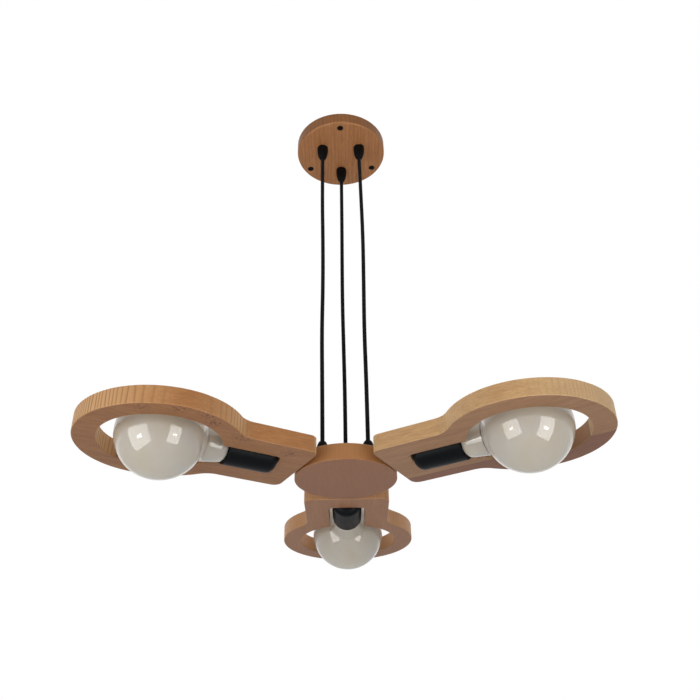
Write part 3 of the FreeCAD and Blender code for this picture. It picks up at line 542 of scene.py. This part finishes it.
# The faces and edges tints paint light and shade onto the canopy's underside and its wall.
canopy_wood = beech("beech_canopy", turn=90, light=(0.42, 0.195, 0.078), dark=(0.30, 0.128, 0.045), blur=0.1,
                    ring_spacing=0.0056, ring_share=0.4, end_share=0.12, seed=3.1, faces=(0.99, 0.94, 0.88),
                    edges=(0.58, 0.46, 0.27))
dress(canopy_wood, "canopy_plate")
black_paint = painted_steel()
for number, angle in enumerate(SCREW_ANGLES):
    rim = SCREW_SUNK + SCREW_RIM
    screw = Turning(0, RECESS_DEPTH).line(RECESS_RADIUS * RECESS_TAPER, RECESS_DEPTH)
    screw.line(RECESS_RADIUS, SCREW_SUNK).line(SCREW_HEAD - SCREW_RIM, SCREW_SUNK)
    screw.oval(SCREW_HEAD, rim, True, 3).line(SCREW_SHANK, rim + SCREW_HEAD - SCREW_SHANK)
    screw.line(SCREW_SHANK, SCREW_LENGTH - SCREW_POINT).line(0, SCREW_LENGTH)
    foot = Matrix.Translation(around(angle, SCREW_CIRCLE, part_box("canopy_plate")[0][2]))
    head = screw.turn(f"ceiling_screw_{number + 1}", foot, black_paint, "black_steel", "canopy", steps=48)
    drive(head, angle, SCREW_CIRCLE, RECESS_RADIUS)

# Hub
# A turned beech disc, hollow inside, with its flat face down. A black steel lid closes it from above, held by
# three small zinc-plated countersunk screws with six-lobed recesses.
LID_SCREW_HEAD = 0.0028
LID_SCREW_SHANK = 0.0015
LID_SCREW_LENGTH = 0.01
LID_SCREW_POINT = 0.001
LID_RECESS_RADIUS = 0.0011
LID_RECESS_DEPTH = 0.0011


def plated(name, tint, dark, roughness, depth):
    """Plated or drawn metal with a faint spangle."""
    metal = Finish(name, Metallic=1.0)
    spangle = metal.noise(metal.stretched(metal.place(), (700, 700, 700)), detail=3)
    colour = metal.ramp(spangle, [(0.3, dark), (0.7, tint)])
    return metal.finish(colour, roughness + spangle * 0.15, spangle, depth)


# The faces and edges tints paint light and shade onto the hub's level faces and its side.
hub_wood = beech("beech_hub", turn=90, light=(0.34, 0.155, 0.066), dark=(0.27, 0.118, 0.05), blur=0.24,
                 ring_spacing=0.0046, ring_share=0.015, end_share=0.12, seed=7.7, faces=(0.97, 0.92, 1.05),
                 edges=(1.05, 0.98, 0.72))
dress(hub_wood, "hub_body")
dress(black_paint, "hub_lid_plate")
zinc = plated("zinc_plate", (0.62, 0.63, 0.64), (0.45, 0.46, 0.48), 0.28, 0.00001)
lid_screws_low, lid_screws_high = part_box("hub_lid_screws")
lid_screw_circle = -lid_screws_low[1] - LID_SCREW_HEAD
for number, angle in enumerate(SCREW_ANGLES):
    screw = Turning(0, LID_RECESS_DEPTH).line(LID_RECESS_RADIUS * RECESS_TAPER, LID_RECESS_DEPTH)
    screw.line(LID_RECESS_RADIUS, 0).line(LID_SCREW_HEAD, 0)
    screw.line(LID_SCREW_SHANK, LID_SCREW_HEAD - LID_SCREW_SHANK)
    screw.line(LID_SCREW_SHANK, LID_SCREW_LENGTH - LID_SCREW_POINT).line(0, LID_SCREW_LENGTH)
    foot = Matrix.Translation(around(angle, lid_screw_circle, lid_screws_high[2]))
    foot = foot @ Matrix.Rotation(math.pi, 4, "X")
    head = screw.turn(f"hub_lid_screw_{number + 1}", foot, zinc, "zinc_steel", "lamp", steps=48)
    drive(head, angle, lid_screw_circle, LID_RECESS_RADIUS)
    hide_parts("hub_lid_screws")

# Arms
# Three beech boards, each cut to a square-shouldered neck that opens into a ring round its bulb. The left one
# has a few knotty spots, and the right one is glued up from two boards, of which the narrow one is redder.
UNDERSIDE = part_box("arm_left")[0][2]
left_knots = (
    ((0.264, 0.071, UNDERSIDE), 0.010),
    ((0.230, 0.084, UNDERSIDE), 0.012),
    ((0.201, 0.084, UNDERSIDE), 0.015),
    ((0.189, 0.069, UNDERSIDE), 0.013),
    ((0.153, 0.048, UNDERSIDE), 0.014),
    ((0.092, 0.036, UNDERSIDE), 0.013),
    ((0.091, -0.021, UNDERSIDE), 0.010),
)
# The faces and edges tints paint light and shade onto each arm's level faces and upright walls.
left_wood = beech("beech_left_arm", turn=210, light=(0.43, 0.198, 0.075), dark=(0.30, 0.122, 0.04), blur=0.09,
                  ring_spacing=0.0038, ring_share=0.06, end_share=1.15, seed=11.3, faces=(0.87, 0.85, 0.82),
                  edges=(1.04, 1.01, 0.88), knots=left_knots)
right_wood = beech("beech_right_arm", turn=330, light=(0.52, 0.31, 0.152), dark=(0.37, 0.195, 0.088),
                   blur=0.1, ring_spacing=0.0036, ring_share=0.03, end_share=0.4, seed=17.9,
                   faces=(0.8, 0.73, 0.76), edges=(1.1, 1.14, 1.07), seam=0.0365, strip=(0.26, 0.105, 0.052))
rear_wood = beech("beech_rear_arm", turn=90, light=(0.45, 0.222, 0.095), dark=(0.34, 0.158, 0.066), blur=0.13,
                  ring_spacing=0.0036, ring_share=0.05, end_share=0.35, seed=23.5, faces=(0.9, 0.86, 0.99),
                  edges=(1.08, 1.06, 1.02))
dress(left_wood, "arm_left")
dress(right_wood, "arm_right")
dress(rear_wood, "arm_rear")

# Lamp holders
# Smooth satin plastic, in one piece as far as the eye can tell, with a rounded rear end that a threaded tube
# enters. The insert behind the mouth carries the brass shell that the bulb screws into.
ARM_AXIS = -0.531
HOLDER_BACK = 0.0919
HOLDER_LENGTH = 0.06
HOLDER_RADIUS = 0.019
HOLDER_WALL = 0.0022
HOLDER_ROUND = 0.009
HOLDER_EDGE = 0.001
HOLDER_MOUTH = 0.0156
HOLDER_LIP = 0.002
TUBE_BORE = 0.00505
BOSS_RADIUS = 0.0075
BOSS_END = 0.0084


def lying(angle):
    """Where a piece turned about an arm's axis lies: its own +Z points away from the lamp's middle."""
    back = around(angle, HOLDER_BACK, ARM_AXIS)
    return Matrix.Translation(back) @ around(angle, 1).to_track_quat("Z", "Y").to_matrix().to_4x4()


holder_plastic = moulded("black_satin_plastic", (0.0022, 0.0031, 0.0042), 0.07, 0.34, 2200)
for side, angle in ARMS.items():
    inner = HOLDER_RADIUS - HOLDER_WALL
    lip = HOLDER_LENGTH - HOLDER_LIP
    holder = Turning(TUBE_BORE, 0).line(HOLDER_RADIUS - HOLDER_ROUND, 0)
    holder.oval(HOLDER_RADIUS, HOLDER_ROUND, True, 14).line(HOLDER_RADIUS, HOLDER_LENGTH - HOLDER_EDGE)
    holder.oval(HOLDER_RADIUS - HOLDER_EDGE, HOLDER_LENGTH, False, 4).line(HOLDER_MOUTH, HOLDER_LENGTH)
    holder.line(HOLDER_MOUTH, lip).line(inner, lip).line(inner, HOLDER_ROUND)
    holder.oval(HOLDER_RADIUS - HOLDER_ROUND, HOLDER_WALL, False, 8).line(BOSS_RADIUS, HOLDER_WALL)
    holder.line(BOSS_RADIUS, BOSS_END).line(TUBE_BORE, BOSS_END).line(TUBE_BORE, 0)
    piece = holder.turn(f"holder_{side}", lying(angle), holder_plastic, "black_plastic", "lamp", steps=96)
    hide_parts(f"holder_cap_{side}", f"holder_skirt_{side}")
    dress(holder_plastic, f"holder_insert_{side}")
dress(grip_plastic, "arm_spacers")

# Bulbs
# Blown globes of clear glass with a milky coat inside, 97 mm across. The coat is thinner in the neck, whose
# end curves in to the metal cap, and no two necks meet their globes in quite the same curve. The cap has a
# rolled right-handed thread, which shows once the bulb is unscrewed.
GLASS_START = 0.0595
GLASS_WALL = 0.001
GLASS_LIP = 0.0001
NECK_ROUND_END = 0.0705
NECK_RADIUS = 0.0182
NECK_FLARE = 0.02
NECK_LINE = 0.0868
GLOBE_CENTRE = 0.1315
GLOBE_RADIUS = 0.04849
CAP_RADIUS = 0.0131
CAP_START = 0.038
CAP_BEVEL = 0.0015
CAP_SHEET = 0.0005
CAP_BAND = 0.0015
CAP_ROWS = 80
THREAD_PITCH = 0.00362
THREAD_DEPTH = 0.0004
THREAD_RUN_OUT = 0.0015
# The round where a neck blends into its globe, how dark the neck is, and how dark the line at its end
NECKS = {"left": (0.009, 0.2, 0.45), "right": (0.003, 0.1, 1.0), "rear": (0.006, 0.05, 0.2)}
# The coat's colours, along a cloudy pattern that runs from low to high
MILK = [(0.36, (0.54, 0.485, 0.395)), (0.5, (0.555, 0.51, 0.44)), (0.64, (0.55, 0.52, 0.48))]


def opal_glass(side, neck_share, line_share):
    """Milky glass: a pale warm coat under a clear, glossy skin, with a faint line where the neck ends."""
    glass = Finish(f"opal_glass_{side}", IOR=1.5, Diffuse_Roughness=0.7, Sheen_Weight=0.03,
                   Sheen_Roughness=0.4, Coat_Weight=0.5, Coat_Roughness=0.02, Coat_IOR=1.4)
    place = glass.place()
    level = glass.node("VectorMath", {"operation": "MULTIPLY"}, {0: place, 1: (1, 1, 0)})
    out = glass.node("VectorMath", {"operation": "LENGTH"}, {0: level}, output="Value") - HOLDER_BACK
    coat = glass.noise(glass.stretched(place, (22, 22, 22), (0.3, 0.1, 0)), detail=2)
    streaks = glass.noise(glass.stretched(place, (60, 60, 14)), detail=2)
    colour = glass.ramp(coat * 0.7 + streaks * 0.3, MILK)
    neck = glass.ramp(out * 10, [(0.80, 1.0), (0.92, 0.0)])
    colour = glass.mix(neck * neck_share, colour, (0.30, 0.262, 0.22))
    line = glass.ramp((out - NECK_LINE).size() * 1000, [(0.4, 1.0), (1.6, 0.0)])
    colour = glass.mix(line * line_share, colour, (0.16, 0.14, 0.115))
    return glass.finish(colour, 0.06)


def blown(inset, blend):
    """Radii of neck, globe and blend for a face of the glass, then the blend's sweep and its place along."""
    neck = NECK_FLARE - inset
    globe = GLOBE_RADIUS - inset
    blend += inset
    reach = math.sqrt((globe + blend) ** 2 - (neck + blend) ** 2)
    sweep = math.degrees(math.asin(reach / (globe + blend)))
    return neck, globe, blend, sweep, GLOBE_CENTRE - reach


def roll_thread(cap, place):
    """Presses a round right-handed thread into the outer wall of a bulb's cap."""
    back = place.inverted()
    for vertex in cap.data.vertices:
        spot = back @ vertex.co
        radius = math.hypot(spot.x, spot.y)
        if radius > CAP_RADIUS - CAP_SHEET / 2:
            turns = spot.z / THREAD_PITCH - math.atan2(spot.y, spot.x) / math.tau
            to_end = min(spot.z - CAP_START - CAP_BEVEL, GLASS_START - CAP_BAND - spot.z)
            share = min(max(to_end / THREAD_RUN_OUT, 0), 1)
            groove = THREAD_DEPTH * share * (0.5 - 0.5 * math.cos(math.tau * turns))
            spot.x *= 1 - groove / radius
            spot.y *= 1 - groove / radius
            vertex.co = place @ spot


cap_metal = plated("tinned_cap", (0.72, 0.71, 0.69), (0.64, 0.63, 0.61), 0.2, 0.000003)
for side, angle in ARMS.items():
    neck_blend, neck_share, line_share = NECKS[side]
    neck, globe, blend, sweep, touch = blown(0, neck_blend)
    outline = Turning(CAP_RADIUS, GLASS_START).oval(NECK_RADIUS, NECK_ROUND_END, True, 12)
    outline.line(neck, touch).arc(neck + blend, touch, -sweep, 8).arc(0, GLOBE_CENTRE, 90 + sweep, 48)
    neck, globe, blend, sweep, touch = blown(GLASS_WALL, neck_blend)
    outline.line(0, GLOBE_CENTRE + globe).arc(0, GLOBE_CENTRE, -90 - sweep, 48)
    outline.arc(neck + blend, touch, sweep, 8).line(NECK_RADIUS - GLASS_WALL, NECK_ROUND_END)
    outline.oval(CAP_RADIUS + GLASS_LIP, GLASS_START + GLASS_WALL, False, 12).line(CAP_RADIUS, GLASS_START)
    milk = opal_glass(side, neck_share, line_share)
    piece = outline.turn(f"globe_{side}", lying(angle), milk, "milky_glass", f"bulb_{side}", steps=128)
    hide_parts(f"bulb_glass_{side}")

for side, angle in ARMS.items():
    inner = CAP_RADIUS - CAP_SHEET
    wall_start = CAP_START + CAP_BEVEL
    outline = Turning(inner - CAP_BEVEL, CAP_START).line(CAP_RADIUS - CAP_BEVEL, CAP_START)
    for row in range(CAP_ROWS + 1):
        outline.line(CAP_RADIUS, wall_start + (GLASS_START - wall_start) * row / CAP_ROWS)
    outline.line(inner, GLASS_START).line(inner, wall_start + CAP_SHEET)
    outline.line(inner - CAP_BEVEL, CAP_START + CAP_SHEET).line(inner - CAP_BEVEL, CAP_START)
    cap = outline.turn(f"threaded_cap_{side}", lying(angle), cap_metal, "cap_metal", f"bulb_{side}", steps=96)
    roll_thread(cap, lying(angle))
    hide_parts(f"bulb_cap_{side}")


# Metal, leads and other inner pieces
# Zinc-plated nuts and tubes, brass contacts, and the leads, the terminal block and the bulbs' inner plastics
# in their own colours. Most of them stay out of sight inside the lamp.
def sheath(name, tint):
    """Soft coloured plastic, as on a lead or a block."""
    cover = Finish(name, Specular_IOR_Level=0.4)
    film = cover.noise(cover.stretched(cover.place(), (300, 300, 300)), detail=2)
    colour = cover.ramp(film, [(0.3, tinted(tint, 0.8)), (0.8, tint)])
    return cover.finish(colour, 0.4 + film * 0.15, film, 0.00002)


brass = plated("brass_sheet", (0.75, 0.56, 0.27), (0.6, 0.43, 0.18), 0.22, 0.000004)
dress(zinc, "canopy_grip_nuts", "hub_grip_nuts", "arm_tubes", "arm_tube_nuts")
dress(brass, "terminal_screws", "holder_contacts", "holder_terminal_screws")
dress(sheath("live_lead_sheath", (0.16, 0.07, 0.03)), "canopy_leads_live", "hub_leads_live")
dress(sheath("neutral_lead_sheath", (0.05, 0.13, 0.4)), "canopy_leads_neutral", "hub_leads_neutral")
dress(sheath("terminal_plastic", (0.75, 0.74, 0.7)), "terminal_block")
carrier_finish = sheath("carrier_plastic", (0.78, 0.78, 0.76))
insulator_finish = sheath("dark_insulator", (0.02, 0.02, 0.025))
dress(cord_finish, "canopy_cord_ends", "hub_cord_ends")
for side in ARMS:
    dress(brass, f"screw_shell_{side}", f"bulb_tip_{side}")
    dress(insulator_finish, f"bulb_insulator_{side}")
    dress(carrier_finish, f"bulb_led_{side}")

# Studio
# A pale floor below the lamp and two window-like softboxes beside the camera, which the bulbs mirror. A broad
# light behind the camera, a small one on the canopy from below, one overhead and two at the back shape the
# wood and show in no gloss.
FLOOR_HEIGHT = -1.45
FLOOR_REACH = 40
FLOOR_LIFT = 0.55
WORLD_FILL = 0.25
LAMP_MIDDLE = (0, -0.1, -0.53)
LIGHT_COLOUR = (1.0, 0.985, 0.95)
# Each window's width, the angle and the elevation that it shines from, and how bright its gleam is
WINDOWS = (("left_window", 0.9, -50, -20, 1.6), ("right_window", 0.62, 43, -22, 2.2))
WINDOW_HEIGHT = 0.85


def shown_rays(tree):
    """One for the rays of the camera and of mirrored or refracted views, nought for rays that carry light."""
    rays = tree.nodes.new("ShaderNodeLightPath")
    shown = rays.outputs["Is Camera Ray"]
    for kind in ("Is Glossy Ray", "Is Transmission Ray"):
        either = tree.nodes.new("ShaderNodeMath")
        either.operation = "MAXIMUM"
        tree.links.new(shown, either.inputs[0])
        tree.links.new(rays.outputs[kind], either.inputs[1])
        shown = either.outputs[0]
    return shown


def softbox(name, size, radiance, angle, elevation, distance, aim=LAMP_MIDDLE, mirrored=False, shines=True,
            spread=180):
    """A rectangular light that faces a point, from an angle in degrees that starts at the camera's side."""
    data = bpy.data.lights.new(name, "AREA")
    data.shape = "RECTANGLE"
    data.size, data.size_y = size
    data.energy = radiance * size[0] * size[1] * math.pi
    data.color = LIGHT_COLOUR
    data.spread = math.radians(spread)
    lamp = bpy.data.objects.new(name, data)
    turn = math.radians(angle)
    rise = math.radians(elevation)
    back = Vector((math.sin(turn) * math.cos(rise), -math.cos(turn) * math.cos(rise), math.sin(rise)))
    lamp.location = Vector(aim) + back * distance
    lamp.rotation_euler = (-back).to_track_quat("-Z", "Y").to_euler()
    lamp.visible_camera = False
    lamp.visible_glossy = mirrored
    lamp.visible_diffuse = shines
    scene.collection.objects.link(lamp)


floor_mesh = bmesh.new()
bmesh.ops.create_grid(floor_mesh, x_segments=1, y_segments=1, size=FLOOR_REACH)
bmesh.ops.translate(floor_mesh, verts=floor_mesh.verts, vec=(0, 0, FLOOR_HEIGHT))
floor_data = bpy.data.meshes.new("floor")
floor_mesh.to_mesh(floor_data)
floor_mesh.free()
floor = bpy.data.objects.new("floor", floor_data)
scene.collection.objects.link(floor)
pale = Finish("pale_floor", Specular_IOR_Level=0.1)
mottle = pale.noise(pale.stretched(pale.place(), (3, 3, 3)), detail=2)
floor.data.materials.append(pale.finish(pale.mix(mottle, (0.46, 0.46, 0.46), (0.5, 0.5, 0.5)), 0.9))
lift = pale.tree.nodes.new("ShaderNodeEmission")
lift.inputs["Strength"].default_value = FLOOR_LIFT
brighter = pale.tree.nodes.new("ShaderNodeAddShader")
shown_floor = pale.tree.nodes.new("ShaderNodeMixShader")
floor_end = pale.tree.nodes["Material Output"]
pale.tree.links.new(pale.shader.outputs[0], brighter.inputs[0])
pale.tree.links.new(lift.outputs[0], brighter.inputs[1])
pale.tree.links.new(shown_rays(pale.tree), shown_floor.inputs[0])
pale.tree.links.new(pale.shader.outputs[0], shown_floor.inputs[1])
pale.tree.links.new(brighter.outputs[0], shown_floor.inputs[2])
pale.tree.links.new(shown_floor.outputs[0], floor_end.inputs[0])

for name, width, angle, elevation, gleam in WINDOWS:
    pane = (width, WINDOW_HEIGHT)
    softbox(name, pane, 1.4, angle, elevation, 1.05, mirrored=True, spread=140)
    softbox(f"{name}_gleam", pane, gleam, angle, elevation, 1.045, mirrored=True, shines=False)
    softbox(f"{name}_core", (0.2, 0.12), 8, angle, elevation, 1.04, mirrored=True, shines=False)
softbox("front", (1.5, 1.2), 1.8, 0, 6, 2.2)
softbox("canopy_light", (0.3, 0.3), 0.75, 0, -52, 1.4, aim=(0, 0.02, 0.06), spread=34)
softbox("overhead", (0.9, 0.9), 3.2, 0, 89, 1.7)
softbox("back_left", (1.1, 1.1), 4.2, -140, 32, 1.9)
softbox("back_right", (1.1, 1.1), 4.2, 140, 32, 1.9)

world = bpy.data.worlds.new("studio")
scene.world = world
world.use_nodes = True
sky = world.node_tree
sky.nodes.clear()
fill = sky.nodes.new("ShaderNodeBackground")
fill.inputs["Color"].default_value = (0.93, 0.96, 1.0, 1)
fill.inputs["Strength"].default_value = WORLD_FILL
white = sky.nodes.new("ShaderNodeBackground")
white.inputs["Color"].default_value = (1, 1, 1, 1)
white.inputs["Strength"].default_value = 1.0
either = sky.nodes.new("ShaderNodeMixShader")
world_end = sky.nodes.new("ShaderNodeOutputWorld")
sky.links.new(shown_rays(sky), either.inputs[0])
sky.links.new(fill.outputs[0], either.inputs[1])
sky.links.new(white.outputs[0], either.inputs[2])
sky.links.new(either.outputs[0], world_end.inputs[0])
